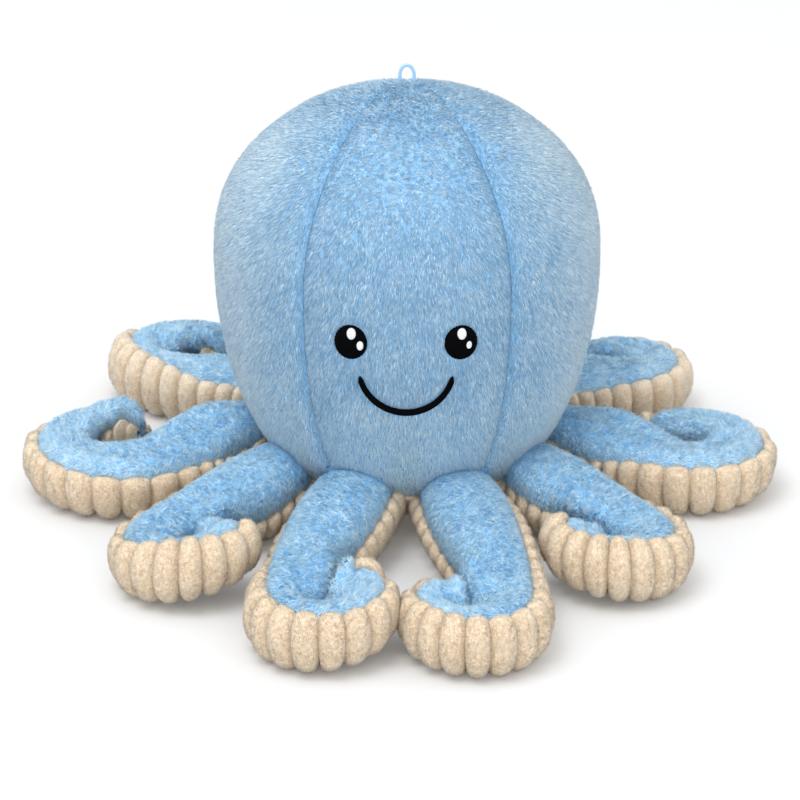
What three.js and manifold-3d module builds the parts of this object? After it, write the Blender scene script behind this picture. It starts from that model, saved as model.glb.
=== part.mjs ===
// A plush octopus: a stuffed head of five gores on a flat base panel, with eight curled arms.
// Millimetres, +Z up, face toward -Y. The origin is the middle of the base panel, on the surface
// that it stands on. Left and right are those of someone who looks the octopus in the face, so
// left is -X.
import * as THREE from 'three';
import { mergeVertices } from 'three/addons/utils/BufferGeometryUtils.js';
import Module from 'manifold-3d';

const DEG = Math.PI / 180;

// Plush
const plushThickness = 2.2;     // backing and pressed pile
const sewnGap = 0.3;            // between pieces that touch
const panelGap = 0.6;           // between an arm's two panels along their seams
const stuffingGap = 1.3;        // round the stuffing, between its corners and the plush's

// Head
const headRadius = 89;          // at its widest
const widestHeight = 114;       // height of the widest level above the surface
const domeRise = 70;            // from the widest level to the crown
const bowlBelow = 7;            // the bowl would close this far below the surface
const domeFullness = 2.25;      // exponent of the dome's outline, 2 is an ellipse
const bowlFullness = 2.15;
const bowlDrop = widestHeight + bowlBelow;
const leanStart = 30;           // the head leans back above this height
const leanAngle = 9;
const faceGoreAngle = 67;       // the face gore is a little narrower than the other four
const seamDepth = 2.6;          // how far the seams draw in
const goreFoot = 20;            // height of the gores' lower edge
const stuffingFoot = 7;         // outline height where the head stuffing turns in to its sole
const soleShare = 0.8;          // of the stuffing's width there
const crownLevel = 89.4;        // profile angle at which the gores end round the crown's knot
const crownCalm = 25;           // within this radius the seams flatten out
const crownBack = 25;           // from the middle of the head's top back to where the gores meet
const goreColumns = 6;
const goreRows = 9;
const goreInnerColumns = 4;
const goreInnerRows = 6;
const stuffingSides = 15;
const stuffingRows = 7;
const baseRingShares = [0, 0.2, 0.5, 1];

// Arms
const armRootRadius = 50;       // from the middle of the base to the start of an arm's sweep
const rootTuck = 8;             // how far the arm tucks in under the head from there
const rootWidth = 37.5;
const armWidth = 41;
const armHeight = 36;
const rootSwell = 35;           // the arm reaches its full width this far from its start
const curlWidth = 26.5;
const curlHeight = 29;
const tipWidth = 22.5;
const tipHeight = 24;
const tipRound = 13;            // length over which the tip rounds off
const armReach = 100;           // a typical sweep, from the root to the curl
const curlEntry = 26;           // length over which the arm goes from its sweep into its curl
const curlRadius = 20;          // of a typical curl's centre line
const armSquareness = 2.2;      // exponent of the section's outline, 2 is an ellipse
const settle = 0.5;             // how deep the underside is pressed flat by its own weight
const ribPitch = 11.3;          // along the middle of the underside panel
const ribHeight = 1.8;
const undersideArc = 190;       // degrees of the section that the ribbed panel covers
const undersidePoints = 5;
const topPoints = 5;
const innerPoints = 4;
const tipShares = [0.6, 0.99];
const lineSteps = 400;          // stations of an arm's centre line

// Arm joints
const hingeRadius = 73;         // of the crease in which an arm bends, from the middle of the base
const hingeClearance = 1;       // height of the crease over the arm's top
const armDroop = 10;            // degrees that an arm sinks when the toy is picked up
const armLift = 60;
const liftSteps = 4;

// Each arm leaves the body at root degrees from the front, aims that many degrees off the radial
// line, sweeps on, and then curls. Positive angles turn to the viewer's right. Its rolls turn
// the ribbed panel from the underside to the outer side of the curl: at the root, before the
// curl, at its start, half way round it and at the tip.
const arms = [
  { name: 'front_left', root: -22.5, aim: 5, reachShare: 1.08, sweep: 2, curl: 265,
    startShare: 0.89, endShare: 0.94, rolls: [40, 5, 60, 51, 4], tipLiftShare: 0.36, liftTurn: 22.5 },
  { name: 'front_right', root: 22.5, aim: -8.5, reachShare: 1.12, sweep: -3, curl: -253,
    startShare: 0.81, endShare: 1.11, rolls: [35, 38, 51, 67, 7], tipLiftShare: 0.1, liftTurn: -22.5 },
  { name: 'side_front_right', root: 67.5, aim: -37, reachShare: 0.78, sweep: 15, curl: -246,
    startShare: 0.92, endShare: 1.01, rolls: [40, 5, 42, 82, 55], tipLiftShare: 0.36, liftTurn: 0 },
  { name: 'side_back_right', root: 112.5, aim: -47, reachShare: 0.66, sweep: -11, curl: 290,
    startShare: 1.31, endShare: 0.98, rolls: [15, 0, 35, 25, 39], tipLiftShare: 0.22, liftTurn: 0 },
  { name: 'back_right', root: 157.5, aim: -52, reachShare: 0.84, sweep: 4, curl: 248,
    startShare: 0.9, endShare: 0.92, rolls: [25, 20, 37, 35, 77], tipLiftShare: 0.2, liftTurn: 0 },
  { name: 'back_left', root: -157.5, aim: 54, reachShare: 0.98, sweep: -18, curl: -248,
    startShare: 1.14, endShare: 0.94, rolls: [25, 28, 72, 18, 89], tipLiftShare: 0.25, liftTurn: 0 },
  { name: 'side_back_left', root: -112.5, aim: 37, reachShare: 0.59, sweep: 30, curl: -277,
    startShare: 1.68, endShare: 0.98, rolls: [18, 0, 18, 35, -30], tipLiftShare: 0.5, liftTurn: 0 },
  { name: 'side_front_left', root: -67.5, aim: 34, reachShare: 0.84, sweep: -12, curl: 231,
    startShare: 0.92, endShare: 1.06, rolls: [40, 20, 30, 82, 37], tipLiftShare: 0.46, liftTurn: 0 },
];

// Face, sewn on the face gore
const eyeAngle = 15.6;          // each side of the middle
const eyeHeight = 102;
const eyeWidth = 14.5;
const eyeTall = 15.4;
const highlightWidth = 4;
const highlightTall = 5;
const highlightRise = 3.8;      // over the eye's middle
const sparkWidth = 3;           // the second, smaller highlight
const sparkTall = 4.2;
const sparkShift = 3.9;         // to the viewer's right of the eye's middle
const sparkDrop = 1.4;
const stitchThickness = 0.8;
const faceGap = 0.5;            // under the embroidery, over the gore's facets
const smileRadius = 21;
const smileSpread = 73;         // degrees to each side of the smile's lowest point
const smileDrop = 31.4;         // from the middle of the eyes down to that point
const smileWidth = 2.7;
const smileSteps = 14;
const ovalPoints = 10;

// Hanging loop on the crown
const loopWidth = 8.7;          // outside
const loopHeight = 8;
const cordDiameter = 1.6;
const loopFootShare = 0.88;     // how close the feet come together, of the loop's width
const loopSteps = 18;
const cordSides = 8;

const headBlue = { color: 0xa4cae9, roughness: 0.95, metalness: 0 };
const armBlue = { color: 0x90bfe4, roughness: 0.95, metalness: 0 };
const ribCream = { color: 0xe6d5bd, roughness: 0.95, metalness: 0 };
const fillWhite = { color: 0xf2f2ee, roughness: 1, metalness: 0 };
const threadBlack = { color: 0x0c0c0e, roughness: 0.6, metalness: 0 };
const threadWhite = { color: 0xf4f4f4, roughness: 0.6, metalness: 0 };
const cordBlue = { color: 0x9cc4e4, roughness: 0.8, metalness: 0 };

const wasm = await Module();
wasm.setup();

const octopus = new THREE.Group();

function addPiece(name, geometry, look) {
  const piece = new THREE.Mesh(geometry, new THREE.MeshStandardMaterial(look));
  piece.name = name;
  octopus.add(piece);
}

function signedPower(value, exponent) {
  return Math.sign(value) * Math.abs(value) ** exponent;
}

function smooth(share) {
  const limited = THREE.MathUtils.clamp(share, 0, 1);
  return limited * limited * (3 - 2 * limited);
}

// Unit vector at an angle from the front, seen from above.
function bearing(angle) {
  return new THREE.Vector3(Math.sin(angle * DEG), -Math.cos(angle * DEG), 0);
}

// A closed geometry from corners and triangles, turned so that its faces point out.
function closedGeometry(corners, triangles) {
  let volume = 0;
  for (const [a, b, c] of triangles) {
    volume += corners[a].dot(new THREE.Vector3().crossVectors(corners[b], corners[c]));
  }
  const outward = volume > 0 ? triangles : triangles.map(([a, b, c]) => [a, c, b]);
  const geometry = new THREE.BufferGeometry();
  const places = corners.flatMap((corner) => corner.toArray());
  geometry.setAttribute('position', new THREE.Float32BufferAttribute(places, 3));
  geometry.setIndex(outward.flat());
  geometry.computeVertexNormals();
  return geometry;
}

// A closed solid through plain rings, each end closed round the middle of its ring.
function loft(rings) {
  const corners = rings.flat();
  const count = rings[0].length;
  const last = corners.length - count;
  const triangles = [];
  for (let start = 0; start < last; start += count) {
    for (let side = 0; side < count; side += 1) {
      const next = (side + 1) % count;
      triangles.push([start + side, start + next, start + count + next]);
      triangles.push([start + side, start + count + next, start + count + side]);
    }
  }
  for (const start of [0, last]) {
    const middle = new THREE.Vector3();
    corners.slice(start, start + count).forEach((corner) => middle.addScaledVector(corner, 1 / count));
    corners.push(middle);
    for (let side = 0; side < count; side += 1) {
      const edge = [start + side, start + (side + 1) % count];
      triangles.push([corners.length - 1, ...(start === 0 ? edge.reverse() : edge)]);
    }
  }
  return closedGeometry(corners, triangles);
}

// How far along a chain of corners each one lies, as a share of the chain's length.
function chainShares(corners, chain) {
  const travelled = [0];
  for (let index = 1; index < chain.length; index += 1) {
    travelled.push(travelled.at(-1) + corners[chain[index]].distanceTo(corners[chain[index - 1]]));
  }
  return travelled.map((length) => length / travelled.at(-1));
}

// Triangles between two chains of corners that start and end side by side.
function zip(corners, outer, inner) {
  const outerShares = chainShares(corners, outer);
  const innerShares = chainShares(corners, inner);
  const triangles = [];
  let a = 0;
  let b = 0;
  while (a < outer.length - 1 || b < inner.length - 1) {
    const outerNext = a < outer.length - 1 ? outerShares[a + 1] + outerShares[a] : Infinity;
    const innerNext = b < inner.length - 1 ? innerShares[b + 1] + innerShares[b] : Infinity;
    if (outerNext <= innerNext) {
      triangles.push([outer[a], outer[a + 1], inner[b]]);
      a += 1;
    } else {
      triangles.push([outer[a], inner[b + 1], inner[b]]);
      b += 1;
    }
  }
  return triangles;
}

// A closed shell between an outer and an inner sheet, each a grid of corners in rows.
function shell(outer, inner) {
  const corners = [...outer.flat(), ...inner.flat()];
  const triangles = [];
  const number = (sheet, first) => sheet.map((row, index) => row.map((_, column) => (
    first + index * row.length + column)));
  const outerNumbers = number(outer, 0);
  const innerNumbers = number(inner, outer.flat().length);
  for (const [numbers, inside] of [[outerNumbers, false], [innerNumbers, true]]) {
    for (let row = 0; row + 1 < numbers.length; row += 1) {
      for (let column = 0; column + 1 < numbers[row].length; column += 1) {
        const [a, b] = numbers[row].slice(column, column + 2);
        const [c, d] = numbers[row + 1].slice(column, column + 2);
        triangles.push(...(inside ? [[a, d, b], [a, c, d]] : [[a, b, d], [a, d, c]]));
      }
    }
  }
  const borders = (numbers) => [
    numbers[0].toReversed(),
    numbers.at(-1),
    numbers.map((row) => row[0]),
    numbers.map((row) => row.at(-1)).reverse(),
  ];
  const innerBorders = borders(innerNumbers);
  borders(outerNumbers).forEach((border, side) => {
    triangles.push(...zip(corners, border, innerBorders[side]));
  });
  return closedGeometry(corners, triangles);
}

function toManifold(geometry) {
  const bare = mergeVertices(new THREE.BufferGeometry()
    .setAttribute('position', geometry.getAttribute('position').clone())
    .setIndex(geometry.index));
  const vertProperties = new Float32Array(bare.getAttribute('position').array);
  const triVerts = new Uint32Array(bare.index.array);
  return new wasm.Manifold(new wasm.Mesh({ numProp: 3, vertProperties, triVerts }));
}

function fromManifold(manifold) {
  const mesh = manifold.getMesh();
  const geometry = new THREE.BufferGeometry();
  geometry.setAttribute('position', new THREE.Float32BufferAttribute(mesh.vertProperties, mesh.numProp));
  geometry.setIndex(new THREE.Uint32BufferAttribute(mesh.triVerts, 1));
  geometry.computeVertexNormals();
  return geometry;
}

// A point of the head's outline at a profile angle, drawn in by depth: radius and height.
function headOutline(level, depth) {
  const upper = level > 0;
  const span = upper ? domeRise : bowlDrop;
  const fullness = upper ? domeFullness : bowlFullness;
  const out = Math.cos(level * DEG) ** (2 / fullness);
  const up = signedPower(Math.sin(level * DEG), 2 / fullness);
  const slope = new THREE.Vector2(
    out ** (fullness - 1) / headRadius,
    signedPower(up, fullness - 1) / span,
  ).normalize();
  return new THREE.Vector2(
    headRadius * out - depth * slope.x,
    widestHeight + span * up - depth * slope.y,
  );
}

// Profile angle of the head's outline at a height.
function levelAt(height) {
  const rise = height - widestHeight;
  const span = rise > 0 ? domeRise : bowlDrop;
  const fullness = rise > 0 ? domeFullness : bowlFullness;
  return Math.asin(signedPower(rise / span, fullness / 2)) / DEG;
}

function leanAt(height) {
  return Math.max(0, height - leanStart) * Math.tan(leanAngle * DEG);
}

// Profile angle of the upper head's outline at a radius.
function levelOut(radius) {
  return Math.acos((Math.min(radius, headRadius) / headRadius) ** (domeFullness / 2)) / DEG;
}

// A point of the head. Above the widest level, the gores' lines shift back toward where they meet.
function headPoint(angle, level, depth) {
  if (level <= 0) {
    const outline = headOutline(level, depth);
    const point = bearing(angle).multiplyScalar(outline.x);
    return point.add(new THREE.Vector3(0, leanAt(outline.y), outline.y));
  }
  const radius = headOutline(level, 0).x;
  const place = bearing(angle).multiplyScalar(radius);
  place.y += crownBack * (1 - (radius / headRadius) ** 2) ** 2;
  const outline = headOutline(levelOut(place.length()), depth);
  place.setLength(outline.x);
  return place.add(new THREE.Vector3(0, leanAt(outline.y), outline.y));
}

// A point across a gore, from one seam at share 0 to the other at share 1, where it is drawn in.
function gorePoint(from, to, share, level, depth) {
  const calm = smooth(headOutline(level, 0).x / crownCalm);
  const drawn = seamDepth * calm * (2 * share - 1) ** 4;
  return headPoint(THREE.MathUtils.lerp(from, to, share), level, depth + drawn);
}

function goreLevel(share) {
  return THREE.MathUtils.lerp(levelAt(goreFoot), crownLevel, share);
}

// Each gore's name and the angles of its two seams.
function goreSeams() {
  const otherGoreAngle = (360 - faceGoreAngle) / 4;
  let seam = -faceGoreAngle / 2;
  return ['face', 'right', 'back_right', 'back_left', 'left'].map((name) => {
    const from = seam;
    seam += name === 'face' ? faceGoreAngle : otherGoreAngle;
    return { name, seams: [from, seam] };
  });
}

// One gore of the head: a padded shell between two seams.
function goreGeometry([from, to]) {
  const sheet = (depth, rows, columns) => {
    const grid = [];
    for (let row = 0; row <= rows; row += 1) {
      const level = goreLevel(row / rows);
      const seamAngle = Math.asin(sewnGap / 2 / headOutline(level, plushThickness).x) / DEG;
      const line = [];
      for (let column = 0; column <= columns; column += 1) {
        line.push(gorePoint(from + seamAngle, to - seamAngle, column / columns, level, depth));
      }
      grid.push(line);
    }
    return grid;
  };
  return shell(sheet(0, goreRows, goreColumns), sheet(plushThickness, goreInnerRows, goreInnerColumns));
}

// A level ring round the whole head, through the columns of its gores.
function headRing(level, depth) {
  return goreSeams().flatMap(({ seams: [from, to] }) => {
    const ring = [];
    for (let column = 0; column < goreColumns; column += 1) {
      ring.push(gorePoint(from, to, column / goreColumns, level, depth));
    }
    return ring;
  });
}

function addHead() {
  goreSeams().forEach(({ name, seams }) => addPiece(`gore_${name}`, goreGeometry(seams), headBlue));
  const inset = plushThickness + seamDepth + 2 * stuffingGap;
  const foot = levelAt(stuffingFoot);
  const rings = [];
  for (let row = 0; row <= stuffingRows; row += 1) {
    const level = THREE.MathUtils.lerp(foot, crownLevel, row / stuffingRows);
    const ring = [];
    for (let side = 0; side < stuffingSides; side += 1) {
      ring.push(headPoint(360 * side / stuffingSides, level, inset));
    }
    rings.push(ring);
  }
  const sole = rings[0].map((corner) => (
    corner.clone().multiplyScalar(soleShare).setZ(plushThickness + stuffingGap)));
  addPiece('head_stuffing', loft([sole, ...rings]), fillWhite);
}

// Profile angles of the base panel's rings, from the surface it stands on to the gores' foot.
function baseLevels() {
  return baseRingShares.map((share) => levelAt(share * (goreFoot - sewnGap)));
}

// The base panel is flat where it rests and turns up to meet the gores.
function addBase() {
  const outer = baseLevels().map((level) => headRing(level, 0));
  const inner = baseLevels().map((level) => headRing(level, plushThickness));
  outer[0].forEach((corner) => corner.setZ(0));
  inner[0].forEach((corner) => corner.setZ(plushThickness));
  addPiece('base_panel', loft([...outer, ...inner.reverse()]), ribCream);
}

// The body's outside from below the base to the crown, grown by a gap.
function bodyTool() {
  const levels = baseLevels();
  for (let row = 0; row <= goreRows; row += 1) {
    levels.push(goreLevel(row / goreRows));
  }
  const rings = levels.map((level) => headRing(level, -sewnGap));
  rings[0].forEach((corner) => corner.setZ(-plushThickness));
  return toManifold(loft(rings));
}

// The arm's centre line, seen from above, as closely spaced stations.
function centreLine(arm) {
  const start = curlRadius * arm.startShare;
  const end = curlRadius * arm.endShare;
  const reach = armReach * arm.reachShare;
  const sense = Math.sign(arm.curl);
  const entryTurn = curlEntry / (2 * start);
  const curlTurn = Math.abs(arm.curl) * DEG - entryTurn;
  const curlLength = curlTurn * (start + end) / 2;
  const length = reach + curlEntry + curlLength;
  const sweepBend = arm.sweep * DEG / reach;
  const stations = [];
  const step = length / lineSteps;
  const place = bearing(arm.root).multiplyScalar(armRootRadius);
  let heading = arm.root + arm.aim;
  let turned = 0;
  for (let index = 0; index <= lineSteps; index += 1) {
    const distance = index * step;
    const entry = smooth((distance - reach) / curlEntry);
    const radius = THREE.MathUtils.lerp(start, end, Math.min(1, turned / curlTurn));
    const bend = THREE.MathUtils.lerp(sweepBend, sense / radius, entry);
    stations.push({ distance, place: place.clone(), heading, bend });
    place.addScaledVector(bearing(heading + bend * step / 2 / DEG), step);
    heading += bend * step / DEG;
    turned += distance > reach + curlEntry ? Math.abs(bend) * step : 0;
  }
  return { stations, length, reach, sense };
}

function widthAt(line, distance) {
  if (distance < 0) {
    const tucked = rootWidth * (1 - rootTuck / armRootRadius);
    return THREE.MathUtils.lerp(rootWidth, tucked, -distance / rootTuck);
  }
  const swollen = THREE.MathUtils.lerp(rootWidth, armWidth, smooth(distance / rootSwell));
  const curlStart = line.reach + curlEntry;
  const shaftShare = (distance - rootSwell) / (curlStart - rootSwell);
  const tapered = THREE.MathUtils.lerp(swollen, curlWidth, smooth(shaftShare));
  const tipStart = line.length - tipRound;
  return THREE.MathUtils.lerp(tapered, tipWidth, smooth((distance - curlStart) / (tipStart - curlStart)));
}

function heightAt(line, distance) {
  const curlStart = line.reach + curlEntry;
  const tipStart = line.length - tipRound;
  const shaftShare = (distance - rootSwell) / (curlStart - rootSwell);
  const tapered = THREE.MathUtils.lerp(armHeight, curlHeight, smooth(shaftShare));
  return THREE.MathUtils.lerp(tapered, tipHeight, smooth((distance - curlStart) / (tipStart - curlStart)));
}

// How far the section has rolled over, in degrees, at a distance along the arm.
function rollAt(arm, line, distance) {
  const curlStart = line.reach + curlEntry;
  const marks = [0, line.reach - curlEntry, curlStart, (curlStart + line.length) / 2, line.length];
  const passed = marks.filter((mark) => mark <= distance).length;
  const next = THREE.MathUtils.clamp(passed, 1, marks.length - 1);
  const share = smooth((distance - marks[next - 1]) / (marks[next] - marks[next - 1]));
  return THREE.MathUtils.lerp(arm.rolls[next - 1], arm.rolls[next], share);
}

// A point on the arm's section at an angle from straight down toward the outer side of the curl.
function armPoint(arm, line, distance, angle, depth, crest) {
  const tipStart = line.length - tipRound;
  const past = Math.max(0, distance - tipStart) / tipRound;
  const length = tipRound - depth;
  const along = Math.min(distance, tipStart) + past * length;
  const full = Math.sqrt(1 - past ** 2);
  const index = THREE.MathUtils.clamp(along / line.length, 0, 1) * (line.stations.length - 1);
  const station = line.stations[Math.round(index)];
  const settled = smooth(along / (armRootRadius + rootSwell));
  const facing = THREE.MathUtils.lerp(arm.root, station.heading, settled);
  const outward = bearing(facing - 90 * line.sense);
  const place = station.place.clone();
  if (along < 0) {
    place.addScaledVector(bearing(arm.root), along);
  }
  const halfWidth = (widthAt(line, along) / 2 - depth) * full;
  const halfHeight = (heightAt(line, along) / 2 - depth) * full;
  const out = signedPower(Math.sin(angle * DEG), 2 / armSquareness);
  const down = signedPower(Math.cos(angle * DEG), 2 / armSquareness);
  const curlStart = line.reach + curlEntry;
  const lifted = arm.tipLiftShare * tipHeight * smooth((along - curlStart) / (line.length - curlStart));
  const middle = heightAt(line, along) / 2 + ribHeight - settle + lifted;
  const point = place.addScaledVector(outward, out * (halfWidth + crest));
  point.z = Math.max(0, middle - down * (halfHeight + crest));
  return point;
}

// Distances of the grooves between the ribs, evenly spaced along the underside panel.
function grooves(arm, line) {
  const tipStart = line.length - tipRound;
  const step = line.length / (line.stations.length - 1);
  const travelled = [0];
  for (const station of line.stations) {
    const roll = rollAt(arm, line, station.distance) * DEG;
    const offset = Math.sin(roll) * widthAt(line, station.distance) / 2;
    travelled.push(travelled.at(-1) + step * (1 + Math.abs(station.bend) * offset));
  }
  const end = travelled[Math.round(tipStart / step)];
  const count = Math.round(end / ribPitch);
  const places = [];
  let index = 0;
  for (let groove = 0; groove <= count; groove += 1) {
    while (travelled[index] < end * groove / count) {
      index += 1;
    }
    places.push(Math.min(index * step, tipStart));
  }
  return places;
}

// A row of corners across the arm's section, from one angle to another.
function sectionRow(arm, line, distance, from, to, count, depth, crest) {
  const past = Math.max(0, distance - line.length + tipRound) / tipRound;
  const radius = (widthAt(line, distance) / 2 - plushThickness) * Math.sqrt(1 - past ** 2);
  const gap = panelGap / radius / DEG / 2;
  const row = [];
  for (let side = 0; side < count; side += 1) {
    const share = side / (count - 1);
    const angle = THREE.MathUtils.lerp(from + gap, to - gap, share);
    const puffed = crest * Math.sqrt(Math.sin(Math.PI * share));
    row.push(armPoint(arm, line, distance, angle, depth, puffed));
  }
  return row;
}

// The stuffing has its corners where the panels' inner faces have theirs.
function stuffingRing(arm, line, distance) {
  const roll = rollAt(arm, line, distance);
  const edge = undersideArc / 2;
  const depth = plushThickness + stuffingGap;
  return [[roll - edge, roll + edge], [roll + edge, roll + 360 - edge]].flatMap(([from, to]) => (
    sectionRow(arm, line, distance, from, to, innerPoints, depth, 0).slice(0, -1)));
}

function armPieces(arm, line) {
  const places = grooves(arm, line);
  const tipPlaces = tipShares.map((share) => line.length - tipRound * (1 - share));
  const stations = [-rootTuck, ...places, ...tipPlaces];
  const edge = undersideArc / 2;
  const underside = (distance, count, depth, crest) => {
    const roll = rollAt(arm, line, distance);
    return sectionRow(arm, line, distance, roll - edge, roll + edge, count, depth, crest);
  };
  const top = (distance, count, depth) => {
    const roll = rollAt(arm, line, distance);
    return sectionRow(arm, line, distance, roll + edge, roll + 360 - edge, count, depth, 0);
  };
  const ribbed = stations.flatMap((distance, index) => {
    const groove = underside(distance, undersidePoints, 0, 0);
    const isRib = index > 1 && index <= places.length;
    const middle = (stations[index - 1] + distance) / 2;
    return isRib ? [underside(middle, undersidePoints, 0, ribHeight), groove] : [groove];
  });
  return {
    top: shell(
      stations.map((distance) => top(distance, topPoints, 0)),
      stations.map((distance) => top(distance, innerPoints, plushThickness)),
    ),
    underside: shell(
      ribbed,
      stations.map((distance) => underside(distance, innerPoints, plushThickness, 0)),
    ),
    stuffing: loft(stations.slice(0, -1).map((distance) => stuffingRing(arm, line, distance))),
  };
}

// What the arm's root must keep clear of: the body, as the arm sees it over its whole travel.
function rootCutter(arm, body) {
  const height = armHeight + ribHeight - settle + hingeClearance;
  const crease = bearing(arm.root).multiplyScalar(hingeRadius).setZ(height);
  const axis = bearing(arm.root + arm.liftTurn + 90);
  const angles = [-armDroop, -armDroop / 2, 0];
  for (let step = 1; step <= liftSteps; step += 1) {
    angles.push(armLift * step / liftSteps);
  }
  return wasm.Manifold.union(angles.map((angle) => {
    const matrix = new THREE.Matrix4().makeTranslation(crease)
      .multiply(new THREE.Matrix4().makeRotationAxis(axis, angle * DEG))
      .multiply(new THREE.Matrix4().makeTranslation(crease.clone().negate()));
    return body.transform(matrix.toArray());
  }));
}

function addArms() {
  const body = bodyTool();
  for (const arm of arms) {
    const line = centreLine(arm);
    const cutter = rootCutter(arm, body);
    const looks = { top: armBlue, underside: ribCream, stuffing: fillWhite };
    for (const [part, geometry] of Object.entries(armPieces(arm, line))) {
      const cut = fromManifold(toManifold(geometry).subtract(cutter));
      addPiece(`arm_${arm.name}_${part}`, cut, looks[part]);
    }
  }
}

// A point on the face, at a distance right of and above a place on it, lifted off the gore.
function facePoint(angle, height, right, above, lift) {
  const level = levelAt(height + above);
  const radius = headOutline(level, 0).x;
  return headPoint(angle + right / radius / DEG, level, -lift);
}

// An embroidered oval: a low pad of thread with a soft edge.
function ovalGeometry(angle, height, right, above, width, tall, lift) {
  const rings = [];
  for (const [share, rise] of [[1, 0], [1, 0.5], [0.6, 1]]) {
    const ring = [];
    for (let side = 0; side < ovalPoints; side += 1) {
      const turn = 2 * Math.PI * side / ovalPoints;
      const x = right + share * Math.cos(turn) * width / 2;
      const y = above + share * Math.sin(turn) * tall / 2;
      ring.push(facePoint(angle, height, x, y, lift + rise * stitchThickness));
    }
    rings.push(ring);
  }
  return loft(rings);
}

function addFace() {
  const overEye = faceGap + stitchThickness + sewnGap;
  for (const [side, angle] of [['left', -eyeAngle], ['right', eyeAngle]]) {
    addPiece(`eye_${side}`, ovalGeometry(
      angle, eyeHeight, 0, 0, eyeWidth, eyeTall, faceGap,
    ), threadBlack);
    addPiece(`eye_${side}_highlight`, ovalGeometry(
      angle, eyeHeight, 0, highlightRise, highlightWidth, highlightTall, overEye,
    ), threadWhite);
    addPiece(`eye_${side}_spark`, ovalGeometry(
      angle, eyeHeight, sparkShift, -sparkDrop, sparkWidth, sparkTall, overEye,
    ), threadWhite);
  }
  const rings = [];
  for (let step = 0; step <= smileSteps; step += 1) {
    const turn = THREE.MathUtils.lerp(-smileSpread, smileSpread, step / smileSteps) * DEG;
    const corner = (across, lift) => {
      const radius = smileRadius + across;
      const above = smileRadius - radius * Math.cos(turn);
      return facePoint(0, eyeHeight - smileDrop, radius * Math.sin(turn), above, lift);
    };
    const half = smileWidth / 2;
    const high = faceGap + stitchThickness;
    rings.push([corner(-half, faceGap), corner(half, faceGap), corner(half, high), corner(-half, high)]);
  }
  addPiece('smile', loft(rings), threadBlack);
}

function addLoop() {
  const crown = headPoint(0, 90, 0);
  const half = (loopWidth - cordDiameter) / 2;
  const foot = headOutline(levelOut(crownBack - cordDiameter), 0).y + sewnGap;
  const top = foot + loopHeight - cordDiameter / 2;
  const at = (x, z) => new THREE.Vector3(x, crown.y, z);
  const path = new THREE.CatmullRomCurve3([
    at(-half * loopFootShare, foot),
    at(-half, THREE.MathUtils.lerp(foot, top, 1 / 2)),
    at(0, top),
    at(half, THREE.MathUtils.lerp(foot, top, 1 / 2)),
    at(half * loopFootShare, foot),
  ]);
  const section = new THREE.Shape();
  for (let side = 0; side < cordSides; side += 1) {
    const turn = 2 * Math.PI * side / cordSides;
    const place = [Math.cos(turn), Math.sin(turn)].map((share) => share * cordDiameter / 2);
    if (side === 0) {
      section.moveTo(...place);
    } else {
      section.lineTo(...place);
    }
  }
  const run = { steps: loopSteps, extrudePath: path, bevelEnabled: false };
  const geometry = new THREE.ExtrudeGeometry(section, run);
  addPiece('hanging_loop', geometry, cordBlue);
}

addHead();
addBase();
addArms();
addFace();
addLoop();

export default octopus;
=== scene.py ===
"""A plush octopus with a gored head, eight curled arms with ribbed undersides and a stitched face.

Lengths are in millimetres until a mesh is made, and angles in degrees. +Z is up and the face
looks toward -Y. Left and right are those of someone who looks the toy in the face.
"""
import math

import bmesh
import bpy
import numpy as np
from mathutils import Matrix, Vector


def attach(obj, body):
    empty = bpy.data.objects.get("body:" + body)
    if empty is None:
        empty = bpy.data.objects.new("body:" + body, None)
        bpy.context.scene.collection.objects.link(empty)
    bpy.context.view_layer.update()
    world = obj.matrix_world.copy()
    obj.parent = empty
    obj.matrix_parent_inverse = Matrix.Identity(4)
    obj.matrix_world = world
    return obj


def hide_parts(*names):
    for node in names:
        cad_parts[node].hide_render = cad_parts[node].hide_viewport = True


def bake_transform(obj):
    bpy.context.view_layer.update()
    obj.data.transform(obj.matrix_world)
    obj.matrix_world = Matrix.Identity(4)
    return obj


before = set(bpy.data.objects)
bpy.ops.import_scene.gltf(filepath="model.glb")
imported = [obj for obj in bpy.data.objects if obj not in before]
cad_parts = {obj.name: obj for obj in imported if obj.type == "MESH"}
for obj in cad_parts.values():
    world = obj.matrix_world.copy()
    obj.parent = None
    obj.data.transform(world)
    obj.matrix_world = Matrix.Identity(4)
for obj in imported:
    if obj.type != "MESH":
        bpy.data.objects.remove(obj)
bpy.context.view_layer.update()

MM = 0.001
rng = np.random.default_rng(20)

# Head, as the frame has it
PLUSH = 2.2  # backing and pressed pile
HEAD_RADIUS = 89.0
WIDEST_HEIGHT = 114.0
DOME_RISE = 70.0
BOWL_DROP = 121.0
DOME_FULLNESS = 2.25
BOWL_FULLNESS = 2.15
LEAN_START = 30.0
LEAN_ANGLE = 9.0
FACE_GORE_ANGLE = 67.0
SEAM_DEPTH = 2.6
GORE_FOOT = 20.0
CROWN_LEVEL = 89.4
CROWN_KNOT = 14.0  # radius without creases
CROWN_CALM = 52.0  # over which they grow from there
CROWN_BACK = 25.0  # from the middle of the head's top to where the gores meet
FOOT_CALM = 12.0  # degrees over which the creases grow from the gores' foot
CREASE_DEPTH = 1.5
CREASE_WIDTH = 3.0
HEAD_TOP = 185.0  # levels are read between these two heights
HEAD_FOOT = 0.5

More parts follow.
